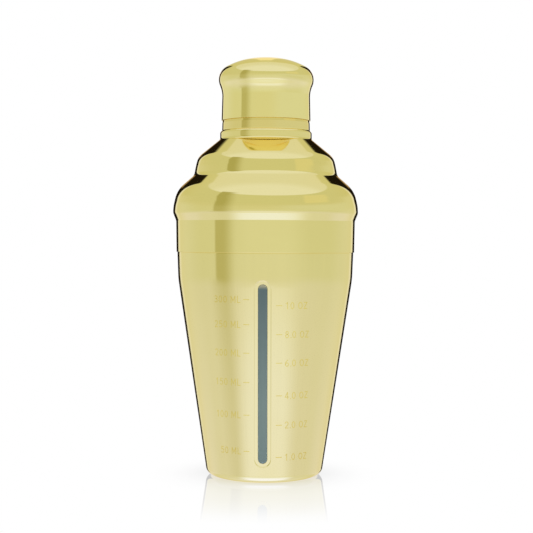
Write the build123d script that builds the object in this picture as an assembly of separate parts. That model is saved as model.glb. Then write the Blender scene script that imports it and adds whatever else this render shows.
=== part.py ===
from build123d import *
import math
import os

# Cobbler cocktail shaker: a conical tumbler with a sight window, a strainer lid
# that fits over the tumbler's rim, and a domed cap that fits over the lid's neck.
# Millimetres. +Z up, origin on the shaker's axis at the plane it stands on.
# The sight window faces -Y.

# ---------------------------------------------------------------- driving sizes
CUP_SHEET = 0.50          # wall of the tumbler
LID_SHEET = 0.45          # wall of the strainer lid
CAP_SHEET = 0.43          # wall of the cap
MIN_ROUNDING = 0.12       # least rounding on the inside of a sheet

CUP_RIM_Z = 119.0         # rim of the tumbler, hidden inside the lid's skirt
CUP_FOOT_R = 27.652       # cone's radius at the standing plane, before rounding
CUP_BREAK_R, CUP_BREAK_Z = 41.946, 94.207   # where the cone turns steeper
CUP_NECKED_R = 42.31      # rim, necked in so that the lid's skirt slides over it
BASE_RAISE = 0.90         # middle of the base stands clear of the table

BEAD_R = 22.133           # bead at the foot of the lid's neck
NECK_R = 20.68            # neck inside the cap
NECK_TOP_Z = 183.4        # perforated top
CAP_TOP_Z = 200.787       # top of the dome

HOLE_D = 3.2              # strainer holes
HOLE_CUT = 4.0            # length of the hole cutters, centred on the neck's top
HOLE_RINGS = ((0.0, 1), (5.6, 6), (11.2, 12))   # ring radius and hole count

# Profiles, as (radius, z, rounding of the corner). Travelling along each one,
# the metal lies to the left.
CUP_PROFILE = [
    (0, BASE_RAISE, 0),
    (20.5, BASE_RAISE, 3.0),
    (22.6, 0.0, 1.2),
    (CUP_FOOT_R, 0.0, 4.003),
    (CUP_BREAK_R, CUP_BREAK_Z, 39.723),
    (42.43, 106.7, 1.0),
    (CUP_NECKED_R, 107.4, 0.6),
    (CUP_NECKED_R, CUP_RIM_Z, 0),
]
LID_PROFILE = [
    (42.854, 107.11, 0),           # lower edge of the skirt
    (43.117, 122.070, 0.8),
    (44.651, 125.967, 3.974),      # widest point of the whole shaker
    (44.450, 129.402, 19.613),
    (42.673, 136.840, 12.815),
    (34.589, 143.966, 3.700),
    (33.816, 148.164, 25.623),
    (32.776, 152.682, 7.404),
    (BEAD_R, 161.380, 1.533),
    (BEAD_R, 164.950, 0.45),
    (21.212, 165.650, 0.25),
    (21.12, 169.300, 1.5),
    (NECK_R, 171.400, 1.5),
    (NECK_R, NECK_TOP_Z, 2.4),
    (0, NECK_TOP_Z, 0),
]
CAP_PROFILE = [
    (21.482, 170.550, 0),          # lower edge of the skirt
    (21.156, 184.599, 12.89),
    (24.700, 193.490, 7.044),
    (11.674, CAP_TOP_Z, 33.32),
    (0, CAP_TOP_Z, 0),
]

# Sight window. Depths are measured square to the wall at -Y, with 0 on the
# outside of the cone and negative numbers going in. A margin is the growth of
# an outline all round, from the slot's own.
SLOT_Z0, SLOT_Z1 = 9.45, 92.8     # ends of the slot
SLOT_W = 4.3
SEAT_MARGIN = 1.65                # pressed seat round the slot
SEAT_OVERLAP = 0.55               # seat's sheet reaches this far past the recess
SEAT_DEPTH = 0.40
SEAT_SHEET = 0.50
LENS_GAP = 0.05                   # round the lens in the slot
LENS_FACE = -0.28
GASKET_T = 0.60
GASKET_OPENING_MARGIN = 0.12
FLANGE_T = 1.20                   # flange of the lens, behind the gasket
FLANGE_MARGIN = 2.00
CLAMP_SHEET = 0.60
CLAMP_GAP = 0.25                  # between the flange and the clamp's side wall
CLAMP_OPENING_MARGIN = 0.35
CLAMP_REACH = 2.0                 # clamp is drawn out to here, then trimmed to the cavity
OPENING_OVERCUT = 1.0             # cutters of through openings run past both faces
OUTER_OVERCUT = 3.0               # cutters of recesses end this far outside the cone

SEAT_INNER = -SEAT_DEPTH - SEAT_SHEET
FLANGE_OUTER = SEAT_INNER - GASKET_T
FLANGE_INNER = FLANGE_OUTER - FLANGE_T
CLAMP_INNER = FLANGE_INNER - CLAMP_SHEET

# Volume marks: height of each tick, and its label
MARKS_LEFT = ((85.9, "300 ML"), (74.4, "250 ML"), (61.2, "200 ML"),
              (47.6, "150 ML"), (32.3, "100 ML"), (15.2, "50 ML"))
MARKS_RIGHT = ((83.2, "10 OZ"), (69.9, "8.0 OZ"), (56.7, "6.0 OZ"),
               (41.5, "4.0 OZ"), (27.7, "2.0 OZ"), (12.5, "1.0 OZ"))
ENGRAVE = 0.05                    # depth of the marks
LETTER_H = 3.3
LETTER_GAP = 0.12                 # space dropped after a left label, in letter heights
STROKE = 0.36
MITER_LIMIT = 0.35                # least cosine used at a sharp corner of a stroke
TICK = (6.1, 9.0)                 # ends, along the wall from the window's centre line
LABEL_AT = 10.3                   # near end of each label
CUTTER_Y, CUTTER_LENGTH = -60, 50  # start and length along +Y of the stroke cutters
SKIN_Z0, SKIN_Z1 = 8.0, 91.0      # band of wall that holds the marks
SKIN_OUT = 2.0                    # how far the band reaches outside the wall


# ---------------------------------------------------------------- profile helpers
def left_of(run):
    """Unit vector square to a run in the plane, on its left."""
    return Vector(-run.Y, run.X).normalized()


def line(start, end):
    """Line between two profile points, in the XZ plane."""
    return Edge.make_line((start[0], 0, start[1]), (end[0], 0, end[1]))


def rounded(profile):
    """Edges through a profile, with an arc at every corner between its ends."""
    corners = [Vector(r, 0, z) for r, z, _ in profile]
    edges = []
    reached = corners[0]
    for i in range(1, len(profile) - 1):
        corner, radius = corners[i], profile[i][2]
        back = (corners[i - 1] - corner).normalized()
        ahead = (corners[i + 1] - corner).normalized()
        half_angle = math.acos(back.dot(ahead)) / 2
        tangent = radius / math.tan(half_angle)
        arc_start = corner + back * tangent
        arc_end = corner + ahead * tangent
        bisector = (back + ahead).normalized()
        arc_middle = corner + bisector * (radius / math.sin(half_angle) - radius)
        # Arcs that meet need no line between them
        if (reached - arc_start).length > 1e-7:
            edges.append(Edge.make_line(reached, arc_start))
        edges.append(Edge.make_three_point_arc(arc_start, arc_middle, arc_end))
        reached = arc_end
    edges.append(Edge.make_line(reached, corners[-1]))
    return edges


def inset(profile, thickness):
    """The same profile moved to its left by the sheet's thickness."""
    walls = []
    for (r0, z0, _), (r1, z1, _) in zip(profile, profile[1:]):
        run = Vector(r1 - r0, z1 - z0)
        walls.append((Vector(r0, z0) + left_of(run) * thickness, run))
    first = walls[0][0]
    moved = [(first.X, first.Y, 0)]
    for i in range(1, len(walls)):
        start, run = walls[i - 1]
        next_start, next_run = walls[i]
        turn = run.cross(next_run).Z
        meet = start + run * ((next_start - start).cross(next_run).Z / turn)
        # Rounding shrinks on the inside of a left turn and grows on a right turn
        rounding = profile[i][2] + (-thickness if turn > 0 else thickness)
        moved.append((meet.X, meet.Y, max(rounding, MIN_ROUNDING)))
    last = walls[-1][0] + walls[-1][1]
    moved.append((last.X, last.Y, 0))
    return moved


def spin(edges):
    return revolve(Face(Wire(edges)), Axis.Z, 360)


def sheet(profile, thickness):
    """A spun or drawn sheet with its outer surface on the profile."""
    inner = inset(profile, thickness)
    ends = [line(profile[0], inner[0]), line(profile[-1], inner[-1])]
    return spin(rounded(profile) + rounded(inner) + ends)


def make_cavity():
    """The space inside the tumbler, up to its rim."""
    inner = inset(CUP_PROFILE, CUP_SHEET)
    top_centre = (0, inner[-1][1])
    return spin(rounded(inner) + [line(inner[-1], top_centre), line(top_centre, inner[0])])


# ---------------------------------------------------------------- wall and window frame
CONE = (CUP_BREAK_R - CUP_FOOT_R) / CUP_BREAK_Z      # wall's slope, radius per height
LEAN = math.atan(CONE)


def wall_r(z):
    return CUP_FOOT_R + CONE * z


SLOT_MIDDLE = (SLOT_Z0 + SLOT_Z1) / 2
SLOT_LENGTH = (SLOT_Z1 - SLOT_Z0) / math.cos(LEAN)
WINDOW_PLANE = Plane(
    origin=(0, -wall_r(SLOT_MIDDLE), SLOT_MIDDLE),
    x_dir=(1, 0, 0),
    z_dir=(0, -math.cos(LEAN), -math.sin(LEAN)),
)


def stadium(margin, inner, outer):
    """A bar with round ends, grown by margin from the slot, between two depths."""
    outline = SlotOverall(SLOT_LENGTH + 2 * margin, SLOT_W + 2 * margin, rotation=90)
    sketch = WINDOW_PLANE.offset(inner) * outline
    return extrude(sketch, amount=outer - inner, dir=WINDOW_PLANE.z_dir)


# ---------------------------------------------------------------- volume marks
def oval(centre_x, centre_y, radius_x, radius_y, count=12):
    """Points anticlockwise round an ellipse."""
    angles = [2 * math.pi * k / count for k in range(count)]
    return [(centre_x + radius_x * math.cos(a), centre_y + radius_y * math.sin(a))
            for a in angles]


# Single-line letters in a box one unit high, as (advance, ovals, open lines).
# An oval is (centre x, centre y, radius x, radius y); a line is a list of points.
GLYPHS = {
    "0": (0.74, [(0.30, 0.50, 0.22, 0.43)], []),
    "1": (0.74, [], [[(0.12, 0.74), (0.34, 0.92), (0.34, 0.0)]]),
    "2": (0.74, [], [[(0.07, 0.72), (0.12, 0.86), (0.29, 0.94), (0.46, 0.86), (0.51, 0.68),
                      (0.42, 0.48), (0.09, 0.07), (0.56, 0.07)]]),
    "3": (0.74, [], [[(0.08, 0.84), (0.27, 0.94), (0.46, 0.86), (0.50, 0.72), (0.42, 0.57),
                      (0.22, 0.52)],
                     [(0.22, 0.52), (0.43, 0.46), (0.53, 0.29), (0.46, 0.13), (0.27, 0.06),
                      (0.06, 0.14)]]),
    "4": (0.74, [], [[(0.42, 0.0), (0.42, 1.0)], [(0.40, 0.95), (0.06, 0.30), (0.58, 0.30)]]),
    "5": (0.74, [], [[(0.52, 0.93), (0.15, 0.93), (0.10, 0.53), (0.30, 0.60), (0.48, 0.50),
                      (0.53, 0.31), (0.45, 0.13), (0.26, 0.06), (0.06, 0.14)]]),
    "6": (0.74, [(0.30, 0.29, 0.22, 0.23)],
          [[(0.46, 0.95), (0.24, 0.78), (0.10, 0.52), (0.08, 0.29)]]),
    "8": (0.74, [(0.30, 0.73, 0.18, 0.20), (0.30, 0.28, 0.22, 0.22)], []),
    "M": (0.92, [], [[(0.08, 0.0), (0.08, 1.0)], [(0.08, 0.93), (0.38, 0.28), (0.68, 0.93)],
                     [(0.68, 1.0), (0.68, 0.0)]]),
    "L": (0.66, [], [[(0.10, 1.0), (0.10, 0.07), (0.54, 0.07)]]),
    "O": (0.84, [(0.36, 0.50, 0.28, 0.43)], []),
    "Z": (0.74, [], [[(0.06, 0.93), (0.54, 0.93), (0.08, 0.07), (0.56, 0.07)]]),
    ".": (0.30, [], [[(0.12, 0.0), (0.12, 0.14)]]),
    " ": (0.40, [], []),
}


def outline_cutter(outline):
    """An outline of (arc length from the centre line, z), carried through the wall along Y."""
    points = []
    for along, z, _ in outline:
        r = wall_r(z)
        points.append((r * math.sin(along / r), CUTTER_Y, z))
    face = Face(Wire.make_polygon(points, close=True))
    return extrude(face, amount=CUTTER_LENGTH, dir=(0, 1, 0))


def stroke_cutter(points, closed=False):
    """Cutter for a stroke along (arc length, z) points; closed ones run anticlockwise."""
    points = [Vector(along, z) for along, z in points]
    left, right = [], []
    for i, point in enumerate(points):
        runs = []
        if closed or i > 0:
            runs.append(point - points[i - 1])
        if closed or i < len(points) - 1:
            runs.append(points[(i + 1) % len(points)] - point)
        normals = [left_of(run) for run in runs]
        miter = sum(normals, Vector(0, 0)).normalized()
        step = miter * (STROKE / 2 / max(MITER_LIMIT, miter.dot(normals[0])))
        left.append(point + step)
        right.append(point - step)
    if closed:
        return outline_cutter(right) - outline_cutter(left)
    return outline_cutter(left + right[::-1])


def label_cutters(text, start, z):
    """Strokes of a label that starts at an arc length and is centred on height z."""
    cutters = []
    for letter in text:
        advance, ovals, lines = GLYPHS[letter]
        strokes = [(oval(*sizes), True) for sizes in ovals] + [(pts, False) for pts in lines]
        for points, closed in strokes:
            placed = [(start + x * LETTER_H, z + (y - 0.5) * LETTER_H) for x, y in points]
            cutters.append(stroke_cutter(placed, closed))
        start += advance * LETTER_H
    return cutters


def make_marks():
    """Ticks and labels on both sides of the window, as a thin skin on the wall."""
    cutters = []
    for side, marks in ((-1, MARKS_LEFT), (1, MARKS_RIGHT)):
        for z, text in marks:
            near, far = sorted(side * end for end in TICK)
            cutters.append(stroke_cutter([(near, z), (far, z)]))
            start = LABEL_AT
            if side < 0:
                width = sum(GLYPHS[letter][0] for letter in text)
                start = -LABEL_AT - (width - LETTER_GAP) * LETTER_H
            cutters += label_cutters(text, start, z)
    low_r, high_r = wall_r(SKIN_Z0), wall_r(SKIN_Z1)
    corners = [(low_r - ENGRAVE, SKIN_Z0), (high_r - ENGRAVE, SKIN_Z1),
               (high_r + SKIN_OUT, SKIN_Z1), (low_r + SKIN_OUT, SKIN_Z0)]
    skin = spin([line(a, b) for a, b in zip(corners, corners[1:] + corners[:1])])
    return (Part() + cutters) & skin


# ---------------------------------------------------------------- pieces
def make_cup():
    """Tumbler with the window's seat and slot, and the engraved marks."""
    cup = sheet(CUP_PROFILE, CUP_SHEET)
    cup = cup + stadium(SEAT_MARGIN + SEAT_OVERLAP, SEAT_INNER, -SEAT_DEPTH)
    cup = cup - stadium(SEAT_MARGIN, -SEAT_DEPTH, OUTER_OVERCUT)
    cup = cup - stadium(0, SEAT_INNER - OPENING_OVERCUT, OPENING_OVERCUT)
    return cup - make_marks()


def make_lens():
    """Lens that fills the slot, with a flange behind the gasket."""
    lens = stadium(-LENS_GAP, FLANGE_INNER, LENS_FACE)
    return lens + stadium(FLANGE_MARGIN, FLANGE_INNER, FLANGE_OUTER)


def make_gasket():
    """Flat ring between the seat and the lens's flange."""
    opening = stadium(GASKET_OPENING_MARGIN, FLANGE_OUTER - OPENING_OVERCUT,
                      SEAT_INNER + OPENING_OVERCUT)
    return stadium(FLANGE_MARGIN, FLANGE_OUTER, SEAT_INNER) - opening


def make_clamp_frame():
    """Tray round the flange, open in the middle and trimmed to the tumbler's inside."""
    margin = FLANGE_MARGIN + CLAMP_GAP
    clamp = stadium(margin + CLAMP_SHEET, CLAMP_INNER, CLAMP_REACH)
    clamp = clamp - stadium(margin, FLANGE_INNER, OUTER_OVERCUT)
    clamp = clamp - stadium(CLAMP_OPENING_MARGIN, CLAMP_INNER - OPENING_OVERCUT,
                            FLANGE_INNER + OPENING_OVERCUT)
    return clamp & make_cavity()


def make_strainer_lid():
    """Lid with rings of holes through the top of its neck."""
    holes = []
    for ring_r, count in HOLE_RINGS:
        for k in range(count):
            angle = 2 * math.pi * k / count
            place = Pos(ring_r * math.cos(angle), ring_r * math.sin(angle), NECK_TOP_Z)
            holes.append(place * Cylinder(HOLE_D / 2, HOLE_CUT))
    return sheet(LID_PROFILE, LID_SHEET) - holes


# ---------------------------------------------------------------- write
PIECES = {
    "cup": make_cup(),
    "window_lens": make_lens(),
    "window_gasket": make_gasket(),
    "window_clamp_frame": make_clamp_frame(),
    "strainer_lid": make_strainer_lid(),
    "cap": sheet(CAP_PROFILE, CAP_SHEET),
}
os.makedirs("parts", exist_ok=True)
for name, shape in PIECES.items():
    solids = shape.solids()
    body = solids[0] if len(solids) == 1 else Compound(children=list(solids))
    body.label = name
    export_step(body, f"parts/{name}.step")
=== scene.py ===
"""A gold-plated cocktail shaker: a tapered cup, a strainer lid and a cap.

The shaker stands on z = 0 with its axis on Z. The narrow window in the cup, with its
volume marks, faces -Y, where the camera stands; +X is to the camera's right.
Shapes are worked out in millimetres and scaled to metres when a mesh is made.
"""
import math

import bpy
import bmesh
import numpy as np
from mathutils import Matrix, Vector
from mathutils.geometry import delaunay_2d_cdt


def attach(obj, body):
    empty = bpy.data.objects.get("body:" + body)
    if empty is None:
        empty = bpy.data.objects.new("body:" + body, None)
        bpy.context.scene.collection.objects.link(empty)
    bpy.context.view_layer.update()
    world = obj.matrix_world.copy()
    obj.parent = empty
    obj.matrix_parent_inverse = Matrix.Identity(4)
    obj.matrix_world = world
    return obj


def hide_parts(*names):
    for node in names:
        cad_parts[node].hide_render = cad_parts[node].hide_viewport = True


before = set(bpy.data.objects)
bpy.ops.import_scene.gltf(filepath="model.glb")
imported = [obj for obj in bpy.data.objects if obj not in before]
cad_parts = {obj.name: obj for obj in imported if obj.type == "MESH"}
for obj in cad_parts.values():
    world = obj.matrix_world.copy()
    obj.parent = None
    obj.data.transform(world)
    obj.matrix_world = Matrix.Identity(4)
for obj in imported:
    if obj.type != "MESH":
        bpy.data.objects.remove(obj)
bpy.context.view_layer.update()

MM = 0.001
SEG = 288                      # steps round each turned piece

# Outsides of the three turned sheets: (radius, height, rounding) of each corner,
# followed with the metal on the left
CUP_SHEET, LID_SHEET, CAP_SHEET = 0.50, 0.45, 0.43
CONE_FOOT_R, CONE_TOP_R, CONE_TOP_Z = 27.652, 41.946, 94.207
LID_TOP = 183.4
CUP = [
    (0, 0.90, 0), (20.5, 0.90, 3.0), (22.6, 0.0, 1.2), (CONE_FOOT_R, 0.0, 4.003),
    (CONE_TOP_R, CONE_TOP_Z, 39.723), (42.43, 106.7, 1.0), (42.31, 107.4, 0.6),
    (42.31, 119.0, 0),
]
LID = [
    (42.854, 107.11, 0), (43.117, 122.070, 0.8), (44.651, 125.967, 3.974),
    (44.450, 129.402, 19.613), (42.673, 136.840, 12.815), (34.589, 143.966, 3.700),
    (33.816, 148.164, 25.623), (32.776, 152.682, 7.404), (22.133, 161.380, 1.533),
    (22.133, 164.950, 1.60), (21.212, 165.650, 0.25), (21.12, 169.300, 1.5),
    (20.68, 171.400, 1.5), (20.68, LID_TOP, 2.4), (0, LID_TOP, 0),
]
CAP = [
    (21.482, 170.550, 0), (21.156, 184.599, 12.89), (24.700, 193.490, 7.044),
    (11.674, 200.787, 33.32), (0, 200.787, 0),
]
LIP = 0.13                     # rounding of a sheet's open edge

# The window's slot is a stadium; its seat is pressed into the wall round it
SLOT_Z0, SLOT_Z1, SLOT_W = 9.45, 92.8, 4.3
SEAT_MARGIN, SEAT_DEPTH, SEAT_SHEET = 1.65, 0.40, 0.50

PLATED, PLAIN = 0, 1           # material slots of each sheet


# ------------------------------------------------------------------ profiles
def unit(x, y):
    length = math.hypot(x, y)
    return x / length, y / length


def rounded(corners):
    """Pieces of a path: ("line", start, end) or ("arc", start, end, centre, radius)."""
    pieces, start = [], corners[0][:2]
    for before, (x, y, radius), after in zip(corners, corners[1:], corners[2:]):
        back = unit(before[0] - x, before[1] - y)
        ahead = unit(after[0] - x, after[1] - y)
        dot = back[0] * ahead[0] + back[1] * ahead[1]
        angle = math.acos(max(-1.0, min(1.0, dot)))
        if radius <= 0 or abs(angle - math.pi) < 1e-6:
            pieces.append(("line", start, (x, y)))
            start = (x, y)
            continue
        reach = radius / math.tan(angle / 2)
        arc_start = (x + back[0] * reach, y + back[1] * reach)
        arc_end = (x + ahead[0] * reach, y + ahead[1] * reach)
        middle = unit(back[0] + ahead[0], back[1] + ahead[1])
        depth = radius / math.sin(angle / 2)
        centre = (x + middle[0] * depth, y + middle[1] * depth)
        if math.hypot(start[0] - arc_start[0], start[1] - arc_start[1]) > 1e-7:
            pieces.append(("line", start, arc_start))
        pieces.append(("arc", arc_start, arc_end, centre, radius))
        start = arc_end
    pieces.append(("line", start, corners[-1][:2]))
    return pieces


def offset_in(corners, sheet):
    """The same path moved to its left by the sheet's thickness."""
    sides = []
    for (x0, y0, _), (x1, y1, _) in zip(corners, corners[1:]):
        ux, uy = unit(x1 - x0, y1 - y0)
        nx, ny = -uy, ux
        sides.append(((x0 + nx * sheet, y0 + ny * sheet), (x1 + nx * sheet, y1 + ny * sheet)))
    moved = [(*sides[0][0], 0)]
    for i in range(1, len(sides)):
        (ax, ay), (bx, by) = sides[i - 1]
        (cx, cy), (dx, dy) = sides[i]
        along, back = (bx - ax, by - ay), (dx - cx, dy - cy)
        turn = along[0] * back[1] - along[1] * back[0]
        share = ((cx - ax) * back[1] - (cy - ay) * back[0]) / turn
        radius = corners[i][2]
        if radius > 0:
            radius = max(radius - sheet if turn > 0 else radius + sheet, 0.12)
        moved.append((ax + along[0] * share, ay + along[1] * share, radius))
    moved.append((*sides[-1][1], 0))
    return moved


def trace(corners, step=3.0, length=4.0):
    """Points (r, z, normal r, normal z) along a rounded path, normals on its left.

    step is the angle between points on arcs of 3 mm or more, length the longest gap."""
    points = []

    def put(r, z, nr, nz):
        if not points or math.hypot(points[-1][0] - r, points[-1][1] - z) > 1e-6:
            points.append((r, z, nr, nz))

    for kind, start, end, *arc in rounded(corners):
        if kind == "line":
            (r0, z0), (r1, z1) = start, end
            span = math.hypot(r1 - r0, z1 - z0)
            if span < 1e-9:
                continue
            count = max(1, math.ceil(span / length))
            for k in range(count + 1):
                put(r0 + (r1 - r0) * k / count, z0 + (z1 - z0) * k / count,
                    -(z1 - z0) / span, (r1 - r0) / span)
            continue
        centre, radius = arc
        first = math.atan2(start[1] - centre[1], start[0] - centre[0])
        last = math.atan2(end[1] - centre[1], end[0] - centre[0])
        turn = (last - first + math.pi) % (2 * math.pi) - math.pi
        arc_step = step if radius >= 3 else (5.0 if radius >= 1 else 8.0)
        count = max(2, math.ceil(abs(math.degrees(turn)) / arc_step),
                    math.ceil(abs(turn) * radius / length))
        sign = -1.0 if turn > 0 else 1.0      # turning left: the centre is on the left
        for k in range(count + 1):
            angle = first + turn * k / count
            put(centre[0] + radius * math.cos(angle), centre[1] + radius * math.sin(angle),
                sign * math.cos(angle), sign * math.sin(angle))
    return points


def section(corners, sheet, length=4.0):
    """Trace both faces of a sheet and its open edge, with normals out of the metal."""
    inner = offset_in(corners, sheet)
    if corners[0][0] > 1e-6:   # a skirt: outside from the top down, edge, inside up
        edge = [(*corners[0][:2], LIP), (*inner[0][:2], LIP)]
        path = corners[:0:-1] + edge + inner[1:]
    else:                      # a cup: inside up, edge, outside down
        edge = [(*inner[-1][:2], LIP), (*corners[-1][:2], LIP)]
        path = inner[:-1] + edge + corners[-2::-1]
    return trace(path, length=length)


# ------------------------------------------------------------------ mesh building
TURNS = [2 * math.pi * k / SEG for k in range(SEG)]     # from -Y towards +X
AROUND_X = np.array([math.sin(turn) for turn in TURNS])
AROUND_Y = np.array([-math.cos(turn) for turn in TURNS])


class Surface:
    """Vertices with their own normals, and faces with a material slot."""

    def __init__(self):
        self.vertices, self.normals, self.faces, self.slots = [], [], [], []

    def add(self, point, normal):
        self.vertices.append(tuple(point))
        self.normals.append(tuple(normal))
        return len(self.vertices) - 1

    def face(self, corners, slot=PLATED):
        distinct = list(dict.fromkeys(corners))
        if len(distinct) >= 3:
            self.faces.append(distinct)
            self.slots.append(slot)

    def join(self, ring, following, slot=PLATED):
        """Join two closed rings of equal count."""
        for k in range(len(ring)):
            self.quad(ring, following, k, slot)

    def quad(self, ring, following, k, slot):
        j = (k + 1) % len(ring)
        self.face([ring[k], ring[j], following[j], following[k]], slot)

    def turned_ring(self, r, z, nr, nz):
        if r < 1e-6:           # all corners meet on the axis
            return [self.add((0, 0, z), (0, 0, nz))] * SEG
        return [self.add((r * x, r * y, z), (nr * x, nr * y, nz))
                for x, y in zip(AROUND_X, AROUND_Y)]

    def build(self, name, materials):
        points, normals = np.array(self.vertices), np.array(self.normals)
        normals /= np.maximum(np.linalg.norm(normals, axis=1, keepdims=True), 1e-12)
        faces = list(self.faces)
        by_size = {}
        for i, face in enumerate(faces):
            by_size.setdefault(len(face), []).append(i)
        for ids in by_size.values():          # wind each face to agree with its normals
            corners = np.array([faces[i] for i in ids])
            places = points[corners]
            facing = np.cross(places, np.roll(places, -1, axis=1)).sum(1)
            wrong = (facing * normals[corners].sum(1)).sum(1) < 0
            for i in np.array(ids)[wrong]:
                faces[i] = faces[i][::-1]
        mesh = bpy.data.meshes.new(name)
        mesh.from_pydata((points * MM).tolist(), [], faces)
        mesh.polygons.foreach_set("material_index", self.slots)
        mesh.polygons.foreach_set("use_smooth", [True] * len(faces))
        mesh.validate()
        mesh.normals_split_custom_set_from_vertices(normals.tolist())
        mesh.update()
        piece = bpy.data.objects.new(name, mesh)
        bpy.context.scene.collection.objects.link(piece)
        for material in materials:
            mesh.materials.append(material)
        return piece


# ------------------------------------------------------------------ shader nodes
def feed(tree, socket, value):
    """Link a socket to another, or give it a plain value; colours come as three numbers."""
    if isinstance(value, bpy.types.NodeSocket):
        tree.links.new(value, socket)
    elif socket.type == "RGBA":
        socket.default_value = (*value, 1)
    else:
        socket.default_value = value


def add_node(tree, kind, inputs=None, **settings):
    node = tree.nodes.new("ShaderNode" + kind)
    for key, value in settings.items():
        setattr(node, key, value)
    for key, value in (inputs or {}).items():
        feed(tree, node.inputs[key], value)
    return node


def noise(tree, coord, scale, detail, rough, stretch=(1, 1, 1)):
    mapping = add_node(tree, "Mapping", {"Scale": stretch, "Vector": coord})
    return add_node(tree, "TexNoise", {
        "Scale": scale, "Detail": detail, "Roughness": rough, "Vector": mapping.outputs[0],
    }).outputs["Fac"]


def map_range(tree, value, source, target=(0.0, 1.0), smooth=False):
    return add_node(tree, "MapRange", {
        "Value": value, "From Min": source[0], "From Max": source[1],
        "To Min": target[0], "To Max": target[1],
    }, interpolation_type="SMOOTHSTEP" if smooth else "LINEAR").outputs["Result"]


def mix_color(tree, factor, first, second):
    # a Mix node's colour inputs are its sockets 6 and 7, its colour output is socket 2
    inputs = {0: factor, 6: first, 7: second}
    return add_node(tree, "Mix", inputs, data_type="RGBA").outputs[2]


def color_ramp(tree, factor, stops):
    """stops are (position from 0 to 1, colour), in rising order."""
    node = add_node(tree, "ValToRGB", {0: factor})
    elements = node.color_ramp.elements
    while len(elements) < len(stops):
        elements.new(0.5)
    for element, (position, color) in zip(elements, stops):
        element.position = position
        element.color = (*color, 1)
    return node.outputs[0]


def bump(tree, height, strength, distance):
    return add_node(tree, "Bump", {
        "Strength": strength, "Distance": distance, "Height": height,
    }).outputs[0]


def split(tree, vector):
    return add_node(tree, "SeparateXYZ", {0: vector}).outputs


def object_coord(tree):
    return add_node(tree, "TexCoord").outputs["Object"]


def wall_coord(tree, coord):
    """(angle round the axis, 0, height in metres), for fine lines up or round the wall."""
    x, y, z = split(tree, coord)
    angle = add_node(tree, "Math", {0: x, 1: y}, operation="ARCTAN2").outputs[0]
    return add_node(tree, "CombineXYZ", {0: angle, 2: z}).outputs[0]


def blank_material(name):
    material = bpy.data.materials.new(name)
    material.use_nodes = True
    tree = material.node_tree
    tree.nodes.clear()
    return material, tree, add_node(tree, "OutputMaterial")


def principled(name, **inputs):
    """A material with one Principled shader, and a function that feeds its inputs."""
    material, tree, output = blank_material(name)
    shader = add_node(tree, "BsdfPrincipled")
    feed(tree, output.inputs[0], shader.outputs[0])

    def give(values):
        for key, value in values.items():
            feed(tree, shader.inputs[key], value)
    return material, tree, give


# ------------------------------------------------------------------ materials
def gold(name, tint, deep, rough, rough_swing, line_swing, bump_strength,
         up_wall=False, painted_light_band=None):
    """Pale gold plating: colour drifts from tint to deep, with fine lines and faint smears.

    The height band is (from height, to height, colour gain) in millimetres: painted light, where
    the colour is made a little lighter for a painted highlight or darker for a painted shade."""
    material, tree, give = principled(name)
    place = object_coord(tree)
    wall = wall_coord(tree, place)
    # fine across the lines, long along them
    stretch = (60.0, 1.0, 14.0) if up_wall else (1.5, 1.0, 2600.0)
    drift = noise(tree, place, scale=22.0, detail=3.0, rough=0.55)
    lines = noise(tree, wall, scale=1.0, detail=6.0, rough=0.65, stretch=stretch)
    fine = noise(tree, wall, scale=3.5, detail=4.0, rough=0.7, stretch=stretch)
    smear = noise(tree, place, scale=55.0, detail=4.0, rough=0.6)

    color = mix_color(tree, map_range(tree, drift, source=(0.35, 0.65)), tint, deep)
    gain = map_range(tree, lines, source=(0.3, 0.7), target=(1.0 - line_swing, 1.0 + line_swing))
    color = add_node(tree, "VectorMath", {0: color, "Scale": gain}, operation="SCALE").outputs[0]
    # painted light: a colour gain inside the height band, lighter for a painted highlight, darker
    # for a painted shade
    if painted_light_band:
        low, high, painted_light_gain = painted_light_band
        z = split(tree, place)[2]
        rise = map_range(tree, z, source=((low - 0.4) * MM, (low + 0.4) * MM), smooth=True)
        fall = map_range(tree, z, source=((high - 0.8) * MM, (high + 0.8) * MM),
                         target=(1.0, 0.0), smooth=True)
        inside = add_node(tree, "Math", {0: rise, 1: fall}, operation="MULTIPLY").outputs[0]
        gain = mix_color(tree, inside, (1.0, 1.0, 1.0), painted_light_gain)
        color = add_node(tree, "VectorMath", {0: color, 1: gain}, operation="MULTIPLY").outputs[0]

    line_rough = map_range(tree, fine, source=(0.3, 0.7),
                           target=(rough - rough_swing, rough + rough_swing))
    smear_rough = map_range(tree, smear, source=(0.45, 0.75), target=(0.0, 0.05), smooth=True)
    total_rough = add_node(tree, "Math", {0: line_rough, 1: smear_rough}, operation="ADD")
    give({
        "Base Color": color,
        "Metallic": 1.0,
        "Specular Tint": (0.98, 0.88, 0.60),
        "Roughness": total_rough.outputs[0],
        "Normal": bump(tree, fine, strength=bump_strength, distance=0.00002),
    })
    return material


def steel(name, rough):
    """Plain steel with fine lines round the axis and faint blotches."""
    material, tree, give = principled(name)
    place = object_coord(tree)
    lines = noise(tree, wall_coord(tree, place), scale=1.0, detail=6.0, rough=0.7,
                  stretch=(2.0, 1.0, 3200.0))
    blotches = noise(tree, place, scale=40.0, detail=3.0, rough=0.5)
    give({
        "Base Color": mix_color(tree, map_range(tree, blotches, source=(0.35, 0.7)),
                                (0.60, 0.595, 0.58), (0.53, 0.525, 0.51)),
        "Metallic": 1.0,
        "Roughness": map_range(tree, lines, source=(0.3, 0.7), target=(rough - 0.07, rough + 0.07)),
        "Normal": bump(tree, lines, strength=0.25, distance=0.00003),
    })
    return material


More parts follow.
